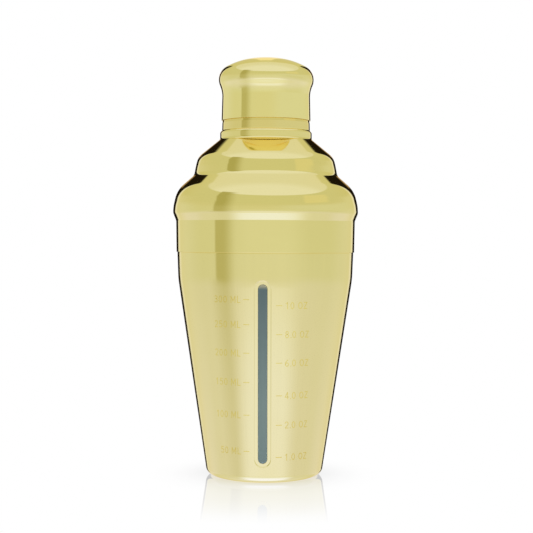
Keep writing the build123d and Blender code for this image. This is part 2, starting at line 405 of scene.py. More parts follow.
def window_plastic():
    """Clear moulded strip. Its colour is painted shade, the dark inside of the closed, empty shaker
    seen through it, with a painted highlight at its top end.
    """
    material, tree, give = principled("window_clear")
    place = object_coord(tree)
    z = split(tree, place)[2]
    streaks = noise(tree, place, scale=90.0, detail=3.0, rough=0.5, stretch=(3.0, 1.0, 0.15))
    # painted shade: the dark inside seen through the strip, darker towards the top, and a painted
    # highlight at its top end
    up = map_range(tree, z, source=(0.038, 0.090))
    dark = mix_color(tree, up, (0.246, 0.345, 0.305), (0.128, 0.196, 0.186))
    light = mix_color(tree, up, (0.285, 0.375, 0.325), (0.152, 0.222, 0.205))
    color = mix_color(tree, map_range(tree, streaks, source=(0.3, 0.7), target=(0.0, 0.8)),
                      dark, light)
    # painted highlight: a light band across the strip's top end
    painted_top_highlight = map_range(tree, z, source=(0.0903, 0.0924), smooth=True)
    give({
        "Base Color": mix_color(tree, painted_top_highlight, color, (0.56, 0.53, 0.33)),
        "IOR": 1.49,
        "Transmission Weight": 0.35,
        "Roughness": map_range(tree, streaks, source=(0.3, 0.7), target=(0.07, 0.13)),
        "Normal": bump(tree, streaks, strength=0.08, distance=0.00003),
    })
    return material


def silicone():
    material, tree, give = principled("silicone_milky")
    grain = noise(tree, object_coord(tree), scale=300.0, detail=4.0, rough=0.6)
    give({
        "Base Color": mix_color(tree, grain, (0.62, 0.64, 0.63), (0.72, 0.73, 0.72)),
        "Roughness": map_range(tree, grain, source=(0.3, 0.7), target=(0.42, 0.58)),
        "Subsurface Weight": 0.3,
        "Subsurface Radius": (0.002, 0.002, 0.002),
        "Subsurface Scale": 1.0,
        "Normal": bump(tree, grain, strength=0.15, distance=0.00005),
    })
    return material


LID_TINT = (0.91, 0.77, 0.31)
POLISHED = dict(rough=0.048, rough_swing=0.010, line_swing=0.006, bump_strength=0.04)
CUP_GOLD = gold("gold_satin", tint=(0.91, 0.77, 0.32), deep=(0.898, 0.758, 0.307), rough=0.075,
                rough_swing=0.02, line_swing=0.014, bump_strength=0.10, up_wall=True)
# the neck has a painted shade: a slightly darker band from 166 to 171.5 mm, just under the cap
LID_GOLD = gold("gold_polished", tint=LID_TINT, deep=(0.898, 0.758, 0.297),
                painted_light_band=(166.0, 171.5, (0.975, 0.945, 0.90)), **POLISHED)
# the cap's wall has a painted highlight: a slightly lighter band up to 188.5 mm
CAP_GOLD = gold("gold_polished_cap", tint=(0.915, 0.778, 0.318), deep=(0.903, 0.766, 0.306),
                painted_light_band=(160.0, 188.5, (1.035, 1.045, 1.05)), **POLISHED)
MARK_GOLD = gold("gold_etched", tint=(0.90, 0.72, 0.185), deep=(0.84, 0.64, 0.15), rough=0.26,
                 rough_swing=0.05, line_swing=0.03, bump_strength=0.2, up_wall=True)
INSIDE_STEEL = steel("steel_inside", rough=0.28)
CLAMP_STEEL = steel("steel_clamp", rough=0.33)
WINDOW_PLASTIC = window_plastic()
SILICONE = silicone()


# ------------------------------------------------------------------ cap and strainer lid
def turned_skirt(path, inside_z):
    """Turn a skirted sheet. Plating wraps round its lower rim, inside up to inside_z."""
    surface = Surface()
    rings = [surface.turned_ring(*point) for point in path]
    lowest = min(range(len(path)), key=lambda i: path[i][1])
    inside = next(i for i in range(lowest, len(path)) if path[i][1] > inside_z)
    for i, (ring, following) in enumerate(zip(rings, rings[1:])):
        surface.join(ring, following, PLAIN if i >= inside else PLATED)
    return surface, rings


surface, _ = turned_skirt(section(CAP, CAP_SHEET), inside_z=175.0)
cap = surface.build("cap_shell", [CAP_GOLD, INSIDE_STEEL])
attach(cap, "top_cap")
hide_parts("cap")

# The lid's flat top is a perforated disc, joined to the turned part at DISC_R
DISC_R = 18.0
DISC_CLEAR_R = 18.2                    # turned points of the top inside this are left out
LID_TOP_INSIDE = LID_TOP - LID_SHEET
HOLE_R, HOLE_PITCH, HOLE_STEPS = 3.2 / 2, 5.6, 40
HOLE_RINGS = ((0.0, 1), (HOLE_PITCH, 6), (2 * HOLE_PITCH, 12))    # (ring radius, holes)
HOLE_CHAMFER_DEPTH, HOLE_CHAMFER_WIDTH = 0.06, 0.012


def circle(cx, cy, radius_x, radius_y, steps):
    """Points of an oval, anticlockwise from its +x end."""
    turns = [2 * math.pi * k / steps for k in range(steps)]
    return [(cx + radius_x * math.cos(t), cy + radius_y * math.sin(t)) for t in turns]


def disc_layout():
    """Triangulate the disc round its holes.

    Returns its points, its triangles, the source number of each point that has one
    (rim points first, then each hole's), and the holes as (x, y, first source number)."""
    points = [Vector((DISC_R * x, DISC_R * y)) for x, y in zip(AROUND_X, AROUND_Y)]
    edges = [(k, (k + 1) % SEG) for k in range(SEG)]
    holes = []
    for ring_r, count in HOLE_RINGS:
        for h in range(count):
            angle = 2 * math.pi * h / count
            cx, cy = ring_r * math.cos(angle), ring_r * math.sin(angle)
            base = len(points)
            points += [Vector(p) for p in circle(cx, cy, HOLE_R, HOLE_R, HOLE_STEPS)]
            edges += [(base + k, base + (k + 1) % HOLE_STEPS) for k in range(HOLE_STEPS)]
            holes.append((cx, cy, base))
    flat, _, triangles, origins, _, _ = delaunay_2d_cdt(points, edges, [], 0, 1e-7)
    source = {i: origin[-1] for i, origin in enumerate(origins) if origin}
    kept = []
    for triangle in triangles:
        centre = sum((flat[i] for i in triangle), Vector((0, 0))) / 3
        in_hole = any((centre.x - x) ** 2 + (centre.y - y) ** 2 < HOLE_R ** 2 * 0.98
                      for x, y, _ in holes)
        if not in_hole and centre.length <= DISC_R:
            kept.append(triangle)
    return flat, kept, source, holes


def add_disc(surface, upper_rim, lower_rim):
    flat, triangles, source, holes = disc_layout()
    # (slot, height, which way it faces, rim it joins)
    faces = ((PLATED, LID_TOP, 1, upper_rim), (PLAIN, LID_TOP_INSIDE, -1, lower_rim))
    by_source = []
    for slot, z, facing, rim in faces:
        numbers = []
        for i, point in enumerate(flat):
            if source.get(i, SEG) < SEG:
                numbers.append(rim[source[i]])
            else:
                numbers.append(surface.add((point.x, point.y, z), (0, 0, facing)))
        for triangle in triangles:
            surface.face([numbers[i] for i in triangle], slot)
        by_source.append({source[i]: numbers[i] for i in source})
    # each hole has a small chamfer at both ends
    bore_r = HOLE_R - HOLE_CHAMFER_WIDTH
    for cx, cy, base in holes:
        bore = []
        for (_, z, facing, _), numbers in zip(faces, by_source):
            outer = [numbers[base + k] for k in range(HOLE_STEPS)]
            inner = []
            for k in range(HOLE_STEPS):
                angle = 2 * math.pi * k / HOLE_STEPS
                x, y = math.cos(angle), math.sin(angle)
                inner.append(surface.add(
                    (cx + bore_r * x, cy + bore_r * y, z - facing * HOLE_CHAMFER_DEPTH),
                    (-x, -y, 0.25 * facing)))
            surface.join(outer, inner, PLAIN)
            bore.append(inner)
        surface.join(*bore, PLAIN)


def on_flat_top(point):
    r, z = point[:2]
    level = abs(z - LID_TOP) < 1e-6 or abs(z - LID_TOP_INSIDE) < 1e-6
    return level and r < DISC_CLEAR_R


lid_path = [point for point in section(LID, LID_SHEET) if not on_flat_top(point)]
lid_path = [(DISC_R, LID_TOP, 0, 1)] + lid_path + [(DISC_R, LID_TOP_INSIDE, 0, -1)]
surface, rings = turned_skirt(lid_path, inside_z=109.5)
add_disc(surface, rings[0], rings[-1])
lid = surface.build("strainer_shell", [LID_GOLD, INSIDE_STEEL])
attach(lid, "strainer")
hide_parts("strainer_lid")

# ------------------------------------------------------------------ the window's own plane
# It touches the cone at the slot's middle: across is +X, along runs up the wall, and
# height is measured out of the wall.
CONE_SLOPE = (CONE_TOP_R - CONE_FOOT_R) / CONE_TOP_Z
LEAN = math.atan(CONE_SLOPE)
SIN_LEAN, COS_LEAN = math.sin(LEAN), math.cos(LEAN)


def cone_r(z):
    return CONE_FOOT_R + CONE_SLOPE * z


SLOT_MID = (SLOT_Z0 + SLOT_Z1) / 2
ORIGIN = np.array([0, -cone_r(SLOT_MID), SLOT_MID])
ALONG = np.array([0, -SIN_LEAN, COS_LEAN])
OUTWARD = np.array([0, -COS_LEAN, -SIN_LEAN])
SLOT_HALF_W = SLOT_W / 2
SLOT_HALF_STRAIGHT = (SLOT_Z1 - SLOT_Z0) / COS_LEAN / 2 - SLOT_HALF_W


def to_world(across, along, height):
    return (ORIGIN + np.outer(across, (1, 0, 0)) + np.outer(along, ALONG)
            + np.outer(height, OUTWARD))


def slot_place(outline, distance):
    """(across, along) at a distance outside the slot's edge.

    outline holds the direction away from the slot's centre line (across and along) and
    the place on that line."""
    across_dir, along_dir, spine = outline
    reach = SLOT_HALF_W + distance
    return across_dir * reach, spine + along_dir * reach


def slot_ring(surface, outline, distance, height, normal_away, normal_out):
    across, along = slot_place(outline, distance)
    places = to_world(across, along, np.full_like(across, height))
    away = np.outer(outline[0], (1, 0, 0)) + np.outer(outline[1], ALONG)
    normals = away * normal_away + OUTWARD * normal_out
    return [surface.add(place, normal) for place, normal in zip(places, normals)]


# ------------------------------------------------------------------ cup with its window opening
PATCH_Z0, PATCH_Z1 = 5.2, 97.0         # heights between which the wall has even rows
ROWS = 46
PATCH_COLS = 8                         # columns each side of the slot that the patch replaces
ROW_Z = [PATCH_Z0 + (PATCH_Z1 - PATCH_Z0) * i / ROWS for i in range(ROWS + 1)]
SEAT_TOP = -SEAT_DEPTH
SEAT_BOTTOM = -SEAT_DEPTH - SEAT_SHEET

# Distances from the slot's edge of the patch's loops, close together where the seat bends
OUTER_LOOPS = ([2.35, 2.2, 2.05, 1.95] + [1.87 - 0.055 * i for i in range(9)]
               + [1.35, 1.0, 0.6, 0.25, 0.10])
INNER_LOOPS = [2.7, 2.6, 2.52] + [2.45 - 0.0625 * i for i in range(9)] + [1.8, 1.2, 0.5, 0.10]
# Rounded rim of the slot, outside to inside: (distance, height, normal away, normal out)
SLOT_RIM = (
    (0.06, SEAT_TOP - 0.006, -0.35, 0.94), (0.02, SEAT_TOP - 0.035, -0.80, 0.60),
    (0.0, SEAT_TOP - 0.09, -1, 0), (0.0, SEAT_BOTTOM + 0.09, -1, 0),
    (0.02, SEAT_BOTTOM + 0.035, -0.8, -0.6),
)


def wall_curve(corners):
    """The wall's radius as a function of height."""
    points = sorted((z, r) for r, z, _, _ in trace(corners, step=0.25, length=1.0)
                    if r > 24 and 2.5 < z < 112)
    heights, radii = np.array(points).T
    return lambda z: np.interp(z, heights, radii)


def wall_rows(radius_at, facing):
    """Path points at ROW_Z; facing is 1 for outward normals, -1 for inward."""
    rows = []
    for z in ROW_Z:
        nudge = 0.05
        slope = (radius_at(z + nudge) - radius_at(z - nudge)) / (2 * nudge)
        length = math.hypot(1, slope)
        rows.append((float(radius_at(z)), z, facing / length, -facing * slope / length))
    return rows


def smooth(x):
    x = np.clip(x, 0, 1)
    return x * x * (3 - 2 * x)


def seat_shape(radius_at, edge, half_blend, level):
    """Height over the window's plane: level within edge of the slot, else the turned wall."""
    def height(across, along):
        wall = np.zeros_like(across)
        for _ in range(12):
            z = SLOT_MID + along * COS_LEAN - wall * SIN_LEAN
            depth = np.sqrt(np.maximum(radius_at(z) ** 2 - across ** 2, 1.0))
            wall = (depth - cone_r(SLOT_MID) - along * SIN_LEAN) / COS_LEAN
        spine = np.clip(along, -SLOT_HALF_STRAIGHT, SLOT_HALF_STRAIGHT)
        margin = np.hypot(across, along - spine) - SLOT_HALF_W
        seat = 1 - smooth((margin - (edge - half_blend)) / (2 * half_blend))
        return wall * (1 - seat) + level * seat
    return height


def add_patch(surface, rows, radius_at, height, distances, facing, slot):
    """Fill the gap left in the turned rows with loops that close in on the slot.

    rows are the turned rings at ROW_Z. Returns the innermost loop and its outline."""
    border = [(k, 0) for k in range(-PATCH_COLS, PATCH_COLS + 1)]
    border += [(PATCH_COLS, i) for i in range(1, ROWS)]
    border += [(k, ROWS) for k in range(PATCH_COLS, -PATCH_COLS - 1, -1)]
    border += [(-PATCH_COLS, i) for i in range(ROWS - 1, 0, -1)]
    angle = np.array([2 * math.pi * k / SEG for k, _ in border])
    z = np.array([ROW_Z[i] for _, i in border])
    radius = radius_at(z)
    places = np.stack([radius * np.sin(angle), -radius * np.cos(angle), z], 1)
    across, along = places[:, 0], (places - ORIGIN) @ ALONG
    spine = np.clip(along, -SLOT_HALF_STRAIGHT, SLOT_HALF_STRAIGHT)
    length = np.hypot(across, along - spine)
    outline = (across / length, (along - spine) / length, spine)

    first_across, first_along = slot_place(outline, distances[0])
    loops = [(across * (1 - t) + t * first_across, along * (1 - t) + t * first_along)
             for t in (0.2, 0.4, 0.6, 0.8)]
    loops += [slot_place(outline, distance) for distance in distances]
    previous = [rows[i][k % SEG] for k, i in border]
    e = 0.004                          # small step for measuring the slope
    for u, v in loops:
        slope_u = (height(u + e, v) - height(u - e, v)) / (2 * e)
        slope_v = (height(u, v + e) - height(u, v - e)) / (2 * e)
        normals = OUTWARD[None, :] - np.outer(slope_u, (1, 0, 0)) - np.outer(slope_v, ALONG)
        current = [surface.add(place, normal * facing)
                   for place, normal in zip(to_world(u, v, height(u, v)), normals)]
        surface.join(previous, current, slot)
        previous = current
    return previous, outline


def cup_surface():
    inner_radius = wall_curve(offset_in(CUP, CUP_SHEET))
    outer_radius = wall_curve(CUP)
    points = section(CUP, CUP_SHEET, length=2.0)
    rim = max(range(len(points)), key=lambda i: points[i][1])
    inner, outer = points[:rim + 1], points[rim + 1:]
    below, above = PATCH_Z0 - 0.3, PATCH_Z1 + 0.5

    # the section with its even rows put in: inside from the bottom up, then outside down
    path = [p for p in inner if p[1] < below or p[0] < 24]
    inner_first = len(path)
    path += wall_rows(inner_radius, facing=-1) + [p for p in inner if p[1] > above]
    outer_start = len(path)
    path += [p for p in outer if p[1] > above]
    outer_first = len(path)
    path += wall_rows(outer_radius, facing=1)[::-1] + [p for p in outer if p[1] < below]

    surface = Surface()
    rings = [surface.turned_ring(*point) for point in path]
    for i, (ring, following) in enumerate(zip(rings, rings[1:])):
        slot = PLAIN if i < outer_start - 1 else PLATED
        cut = inner_first <= i < inner_first + ROWS or outer_first <= i < outer_first + ROWS
        columns = range(PATCH_COLS, SEG - PATCH_COLS) if cut else range(SEG)
        for k in columns:
            surface.quad(ring, following, k, slot)

    outer_rings = rings[outer_first:outer_first + ROWS + 1][::-1]
    outer_shape = seat_shape(outer_radius, edge=SEAT_MARGIN, half_blend=0.22, level=SEAT_TOP)
    edge_loop, outline = add_patch(surface, outer_rings, outer_radius, outer_shape,
                                   OUTER_LOOPS, facing=1, slot=PLATED)
    inner_rings = rings[inner_first:inner_first + ROWS + 1]
    inner_shape = seat_shape(inner_radius, edge=SEAT_MARGIN + 0.55, half_blend=0.25,
                             level=SEAT_BOTTOM)
    inner_loop, _ = add_patch(surface, inner_rings, inner_radius, inner_shape,
                              INNER_LOOPS, facing=-1, slot=PLAIN)
    for station in SLOT_RIM:
        following = slot_ring(surface, outline, *station)
        surface.join(edge_loop, following, PLATED)
        edge_loop = following
    # both patches have the same count and order round the slot
    surface.join(edge_loop, inner_loop, PLAIN)
    return surface


cup = cup_surface().build("cup_shell", [CUP_GOLD, INSIDE_STEEL])
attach(cup, "tumbler")
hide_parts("cup")

# ------------------------------------------------------------------ window lens
LENS_GAP, LENS_FACE = 0.05, -0.28      # clearance in the slot, height of the outer face
GASKET_T, FLANGE_T, FLANGE_MARGIN = 0.60, 1.20, 2.00
FLANGE_TOP = SEAT_BOTTOM - GASKET_T
FLANGE_BOTTOM = FLANGE_TOP - FLANGE_T
LENS_FLAT = -0.9                       # where the flat end faces start, from the slot's edge
# (distance from the slot's edge, height, rounding), from the back of the flange to the face
LENS = [
    (LENS_FLAT, FLANGE_BOTTOM, 0), (FLANGE_MARGIN, FLANGE_BOTTOM, 0.15),
    (FLANGE_MARGIN, FLANGE_TOP, 0.15), (-LENS_GAP, FLANGE_TOP, 0.05),
    (-LENS_GAP, LENS_FACE, 0.22), (LENS_FLAT, LENS_FACE, 0),
]


def stadium_outline(arc_steps=24, side_steps=36):
    half = SLOT_HALF_STRAIGHT
    stations = []
    for sign in (1, -1):               # +X side and top end, then -X side and bottom end
        for k in range(side_steps):
            stations.append((sign, 0, sign * (-half + 2 * half * k / side_steps)))
        for k in range(arc_steps):
            t = math.pi * k / arc_steps
            stations.append((sign * math.cos(t), sign * math.sin(t), sign * half))
    return tuple(np.array(stations, float).T)


def lens_surface():
    """The lens profile swept round the slot's outline and closed by two flat faces."""
    surface = Surface()
    outline = stadium_outline()
    rings = [slot_ring(surface, outline, *point)
             for point in trace(LENS, step=15.0, length=50.0)]
    for ring, following in zip(rings, rings[1:]):
        surface.join(ring, following)
    surface.face(rings[0])
    surface.face(rings[-1])
    return surface


lens = lens_surface().build("window_strip", [WINDOW_PLASTIC])
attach(lens, "tumbler")
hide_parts("window_lens")

for node_name, material in (("window_gasket", SILICONE), ("window_clamp_frame", CLAMP_STEEL)):
    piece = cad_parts[node_name]
    piece.data.materials.clear()
    piece.data.materials.append(material)

# ------------------------------------------------------------------ volume marks
# Thin etched strokes lying on the wall: (height, label), on the -X and +X sides of the slot
MARKS_LEFT = ((85.9, "300 ML"), (74.4, "250 ML"), (61.2, "200 ML"),
              (47.6, "150 ML"), (32.3, "100 ML"), (15.2, "50 ML"))
MARKS_RIGHT = ((83.2, "10 OZ"), (69.9, "8.0 OZ"), (56.7, "6.0 OZ"),
               (41.5, "4.0 OZ"), (27.7, "2.0 OZ"), (12.5, "1.0 OZ"))
LETTER_H, STROKE_W = 3.3, 0.36
TICK_START, TICK_END, LABEL_START = 6.1, 9.0, 10.3      # round the wall from the slot's middle
LABEL_TAIL = 0.12 * LETTER_H           # blank after a label's last letter
PROUD, SUNK = 0.012, 0.03              # a stroke's top and bottom, from the wall
STROKE_STEP = 0.35                     # longest piece, so that strokes follow the round wall


def oval(cx, cy, radius_x, radius_y):
    return circle(cx, cy, radius_x, radius_y, steps=28)


def curve(points, steps=5):
    """A smooth line through the points."""
    knots = [np.array(p, float) for p in points]
    knots = [2 * knots[0] - knots[1]] + knots + [2 * knots[-1] - knots[-2]]
    line = []
    for a, b, c, d in zip(knots, knots[1:], knots[2:], knots[3:]):
        for k in range(steps):
            t = k / steps
            line.append(tuple(0.5 * (2 * b + (c - a) * t + (2 * a - 5 * b + 4 * c - d) * t * t
                                     + (3 * b - a - 3 * c + d) * t ** 3)))
    line.append(tuple(knots[-2]))
    return line


# Character: (advance, [(stroke points, closed)]), all in letter heights
GLYPHS = {
    "0": (0.74, [(oval(0.30, 0.50, 0.22, 0.43), True)]),
    "1": (0.74, [([(0.12, 0.74), (0.34, 0.92), (0.34, 0.0)], False)]),
    "2": (0.74, [(curve([(0.07, 0.72), (0.12, 0.86), (0.29, 0.94), (0.46, 0.86), (0.51, 0.68),
                         (0.42, 0.48), (0.09, 0.07)]), False),
                 ([(0.09, 0.07), (0.56, 0.07)], False)]),
    "3": (0.74, [(curve([(0.08, 0.84), (0.27, 0.94), (0.46, 0.86), (0.50, 0.72), (0.42, 0.57),
                         (0.22, 0.52)]), False),
                 (curve([(0.22, 0.52), (0.43, 0.46), (0.53, 0.29), (0.46, 0.13), (0.27, 0.06),
                         (0.06, 0.14)]), False)]),
    "4": (0.74, [([(0.42, 0.0), (0.42, 1.0)], False),
                 ([(0.40, 0.95), (0.06, 0.30), (0.58, 0.30)], False)]),
    "5": (0.74, [([(0.52, 0.93), (0.15, 0.93), (0.10, 0.53)], False),
                 (curve([(0.10, 0.53), (0.30, 0.60), (0.48, 0.50), (0.53, 0.31), (0.45, 0.13),
                         (0.26, 0.06), (0.06, 0.14)]), False)]),
    "6": (0.74, [(oval(0.30, 0.29, 0.22, 0.23), True),
                 (curve([(0.46, 0.95), (0.24, 0.78), (0.10, 0.52), (0.08, 0.29)]), False)]),
    "8": (0.74, [(oval(0.30, 0.73, 0.18, 0.20), True), (oval(0.30, 0.28, 0.22, 0.22), True)]),
    "M": (0.92, [([(0.08, 0.0), (0.08, 1.0)], False),
                 ([(0.08, 0.93), (0.38, 0.28), (0.68, 0.93)], False),
                 ([(0.68, 1.0), (0.68, 0.0)], False)]),
    "L": (0.66, [([(0.10, 1.0), (0.10, 0.07), (0.54, 0.07)], False)]),
    "O": (0.84, [(oval(0.36, 0.50, 0.28, 0.43), True)]),
    "Z": (0.74, [([(0.06, 0.93), (0.54, 0.93), (0.08, 0.07), (0.56, 0.07)], False)]),
    ".": (0.30, [([(0.12, 0.0), (0.12, 0.14)], False)]),
    " ": (0.40, []),
}


class Strokes:
    """Flat strips bent round the cone, drawn in (distance round the wall, height)."""

    def __init__(self):
        self.vertices, self.flats, self.sides = [], [], []

    def put(self, points, offset):
        base = len(self.vertices)
        for x, z in points:
            angle = x / cone_r(z)
            r = cone_r(z) + offset
            self.vertices.append((r * math.sin(angle), -r * math.cos(angle), z))
        return range(base, len(self.vertices))

    def draw(self, points, closed):
        fine = []
        following = points[1:] + points[:1] if closed else points[1:]
        for a, b in zip(points, following):
            count = max(1, math.ceil(math.hypot(b[0] - a[0], b[1] - a[1]) / STROKE_STEP))
            for j in range(count):
                fine.append((a[0] + (b[0] - a[0]) * j / count, a[1] + (b[1] - a[1]) * j / count))
        if not closed:
            fine.append(points[-1])
        n = len(fine)
        left, right = [], []
        for i, (x, z) in enumerate(fine):
            normals = []               # of the pieces that meet at this point
            for j in (i - 1, i):
                if closed or 0 <= j < n - 1:
                    a, b = fine[j], fine[(j + 1) % n]
                    ux, uz = unit(b[0] - a[0], b[1] - a[1])
                    normals.append((-uz, ux))
            mx, mz = unit(sum(p[0] for p in normals), sum(p[1] for p in normals))
            reach = STROKE_W / 2 / max(0.35, mx * normals[0][0] + mz * normals[0][1])
            left.append((x + mx * reach, z + mz * reach))
            right.append((x - mx * reach, z - mz * reach))

        left_top, right_top = self.put(left, PROUD), self.put(right, PROUD)
        left_low, right_low = self.put(left, -SUNK), self.put(right, -SUNK)
        for i in range(n if closed else n - 1):
            j = (i + 1) % n
            self.flats.append((left_top[i], left_top[j], right_top[j], right_top[i]))
            self.flats.append((left_low[i], right_low[i], right_low[j], left_low[j]))
            self.sides.append((left_top[i], left_low[i], left_low[j], left_top[j]))
            self.sides.append((right_top[i], right_top[j], right_low[j], right_low[i]))
        if not closed:
            self.sides.append((left_top[0], right_top[0], right_low[0], left_low[0]))
            self.sides.append((left_top[-1], left_low[-1], right_low[-1], right_top[-1]))

    def write(self, text, start, z):
        for character in text:
            advance, lines = GLYPHS[character]
            for points, closed in lines:
                self.draw([(start + x * LETTER_H, z - LETTER_H / 2 + y * LETTER_H)
                           for x, y in points], closed)
            start += advance * LETTER_H

    def build(self, name, material):
        mesh = bpy.data.meshes.new(name)
        mesh.from_pydata((np.array(self.vertices) * MM).tolist(), [], self.flats + self.sides)
        mesh.validate()
        work = bmesh.new()
        work.from_mesh(mesh)
        bmesh.ops.recalc_face_normals(work, faces=work.faces)
        work.to_mesh(mesh)
        work.free()
        mesh.materials.append(material)
        piece = bpy.data.objects.new(name, mesh)
        bpy.context.scene.collection.objects.link(piece)
        return piece


strokes = Strokes()
for side, labels in ((-1, MARKS_LEFT), (1, MARKS_RIGHT)):
    for z, text in labels:
        strokes.draw([(side * TICK_START, z), (side * TICK_END, z)], closed=False)
        width = sum(GLYPHS[character][0] for character in text) * LETTER_H
        start = LABEL_START if side > 0 else -LABEL_START - width + LABEL_TAIL
        strokes.write(text, start, z)
marks = strokes.build("volume_marks", MARK_GOLD)
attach(marks, "tumbler")

# ------------------------------------------------------------------ floor
FLOOR_HALF, FLOOR_DROP = 6.0, 0.00002          # metres
FLOOR_REACH = 120                              # the ramps' full length from the axis, mm
# (distance from the axis in mm, value)
MIRROR_STOPS = ((0, 0.46), (26, 0.44), (31, 0.37), (38, 0.28), (66, 0.215), (84, 0.14),
                (100, 0.05), (114, 0.0))
# painted contact shadow of the shaker on the floor round its base
SHADE_STOPS = ((26, 0.85), (30, 0.885), (34, 0.92), (38, 0.95), (46, 0.985), (56, 1.0))


def floor_white():
    """White glow with a painted shadow that darkens it softly near the base, and a mirror that
    fades outwards.
    """
    material, tree, output = blank_material("floor_white")
    position = add_node(tree, "NewGeometry").outputs["Position"]
    distance = add_node(tree, "VectorMath", {0: position}, operation="LENGTH").outputs["Value"]
    outwards = map_range(tree, distance, source=(0.0, 0.120))

    def grey_ramp(stops):
        return color_ramp(tree, outwards, [(mm / FLOOR_REACH, (k, k, k)) for mm, k in stops])

    # painted shadow: the glow is darker near the base, after SHADE_STOPS
    glow = add_node(tree, "Emission", {"Color": grey_ramp(SHADE_STOPS)})
    mirror = add_node(tree, "BsdfGlossy", {"Roughness": 0.0, "Color": (1, 1, 1)})
    # weaker behind the axis than in front of it
    front = map_range(tree, split(tree, position)[1], source=(0.002, -0.016), target=(0.55, 1.0))
    share = add_node(tree, "Math", {0: grey_ramp(MIRROR_STOPS), 1: front}, operation="MULTIPLY")
    mixed = add_node(tree, "MixShader", {
        0: share.outputs[0], 1: glow.outputs[0], 2: mirror.outputs[0]})
    feed(tree, output.inputs[0], mixed.outputs[0])
    return material


floor_mesh = bpy.data.meshes.new("floor")
grid = bmesh.new()
bmesh.ops.create_grid(grid, x_segments=2, y_segments=2, size=FLOOR_HALF)
grid.to_mesh(floor_mesh)
grid.free()
floor = bpy.data.objects.new("floor", floor_mesh)
floor.location = (0, 0, -FLOOR_DROP)
bpy.context.scene.collection.objects.link(floor)
floor_mesh.materials.append(floor_white())
floor.visible_glossy = False
floor.visible_transmission = False

# ------------------------------------------------------------------ surroundings
# A soft studio tent that turns with the camera
world = bpy.data.worlds.new("studio")
bpy.context.scene.world = world
world.use_nodes = True
sky = world.node_tree
sky.nodes.clear()


class Number:
    """A number in the sky's node tree."""

    def __init__(self, socket):
        self.socket = socket

    def math(self, operation, *others):
        values = [v.socket if isinstance(v, Number) else v for v in (self, *others)]
        node = add_node(sky, "Math", dict(enumerate(values)), operation=operation)
        return Number(node.outputs[0])

    def __add__(self, other): return self.math("ADD", other)
    def __sub__(self, other): return self.math("SUBTRACT", other)
    def __mul__(self, other): return self.math("MULTIPLY", other)
    def __truediv__(self, other): return self.math("DIVIDE", other)
    def __neg__(self): return self.math("MULTIPLY", -1.0)
    def abs(self): return self.math("ABSOLUTE")
    def min(self, other): return self.math("MINIMUM", other)
    def max(self, other): return self.math("MAXIMUM", other)

    def fade(self, off, on):
        """0 at off and beyond, 1 at on and beyond, smooth between."""
        source, target = ((off, on), (0.0, 1.0)) if off < on else ((on, off), (1.0, 0.0))
        return Number(map_range(sky, self.socket, source, target, smooth=True))


def numbers(vector):
    return [Number(socket) for socket in split(sky, vector)]


def camera_axis(vector):
    return numbers(add_node(sky, "VectorTransform", {0: vector}, vector_type="VECTOR",
                            convert_from="CAMERA", convert_to="WORLD").outputs[0])


def blend(factor, first, second):
    return mix_color(sky, factor.socket, first, second)


def seen(*display):
    """Light that gold of the lid's tint sends back as this display colour (0 to 255)."""
    light = []
    for value, tint in zip(display, LID_TINT):
        value /= 255
        value = value / 12.92 if value <= 0.04045 else ((value + 0.055) / 1.055) ** 2.4
        light.append(value / tint)
    return tuple(light)


# Display colours by elevation: (degrees above the horizon, red, green, blue)
AHEAD = (                              # towards the camera, where the floor is brightest
    (-90, 255, 252, 238), (-80, 255, 254, 242), (-68, 254, 249, 233), (-41, 241, 236, 198),
    (-36, 231, 222, 163), (-32, 229, 219, 157), (-28.5, 235, 226, 172), (-27, 238, 229, 183),
    (-25, 236, 228, 181), (-23, 235, 227, 180), (-21.5, 233, 225, 175), (-20, 231, 222, 167),
    (-18.0, 223, 213, 152), (-12, 219, 209, 144), (-4, 218, 209, 140), (0, 217, 208, 137),
    (8, 213, 202, 127), (15, 209, 198, 121), (20, 207, 197, 119), (40, 207, 197, 119),
    (90, 212, 202, 128),
)
SIDES = (                              # round the sides
    (-90, 246, 240, 212), (-76, 247, 241, 214), (-60, 222, 212, 158), (-41, 219, 209, 149),
    (-33, 219, 209, 148), (-29, 219, 208, 149), (-25, 220, 209, 154), (-14, 216, 206, 145),
    (-6, 212, 203, 134), (0, 211, 202, 130), (8, 211, 201, 127), (15, 208, 197, 121),
    (20, 206, 196, 119), (40, 206, 196, 119), (90, 212, 202, 128),
)
FAR = (                                # beyond the sides, away from the camera
    (-90, 236, 228, 188), (-60, 226, 216, 165), (-42, 221, 211, 149), (-33, 218, 208, 146),
    (-29, 225, 214, 164), (-26, 229, 218, 176), (-19, 228, 217, 172), (-13, 223, 213, 158),
    (-6, 218, 210, 149), (8, 217, 209, 147), (15, 210, 200, 127), (20, 206, 196, 119),
    (90, 212, 202, 128),
)

direction = add_node(sky, "TexCoord").outputs["Generated"]
world_x, world_y, up = numbers(direction)
# the camera's level heading; its up axis joins in so that a steep view still has one
forward_x, forward_y, _ = camera_axis((0, 0, 1))
top_x, top_y, _ = camera_axis((0, 1, 0))
heading_x, heading_y = forward_x + top_x, forward_y + top_y
heading = (heading_x * heading_x + heading_y * heading_y).math("SQRT").max(1e-4)
heading_x, heading_y = heading_x / heading, heading_y / heading
right = world_x * heading_y - world_y * heading_x      # to the camera's right
away = world_x * heading_x + world_y * heading_y       # away from the camera
# degrees: 0 towards the camera and + to its right; 0 level and + up
azimuth = right.math("ARCTAN2", -away) * (180 / math.pi)
elevation = up.math("ARCSINE") * (180 / math.pi)
ramp_place = (elevation + 90.0) / 180.0


def sky_ramp(table):
    stops = [((degrees + 90) / 180, seen(*display)) for degrees, *display in table]
    return color_ramp(sky, ramp_place.socket, stops)


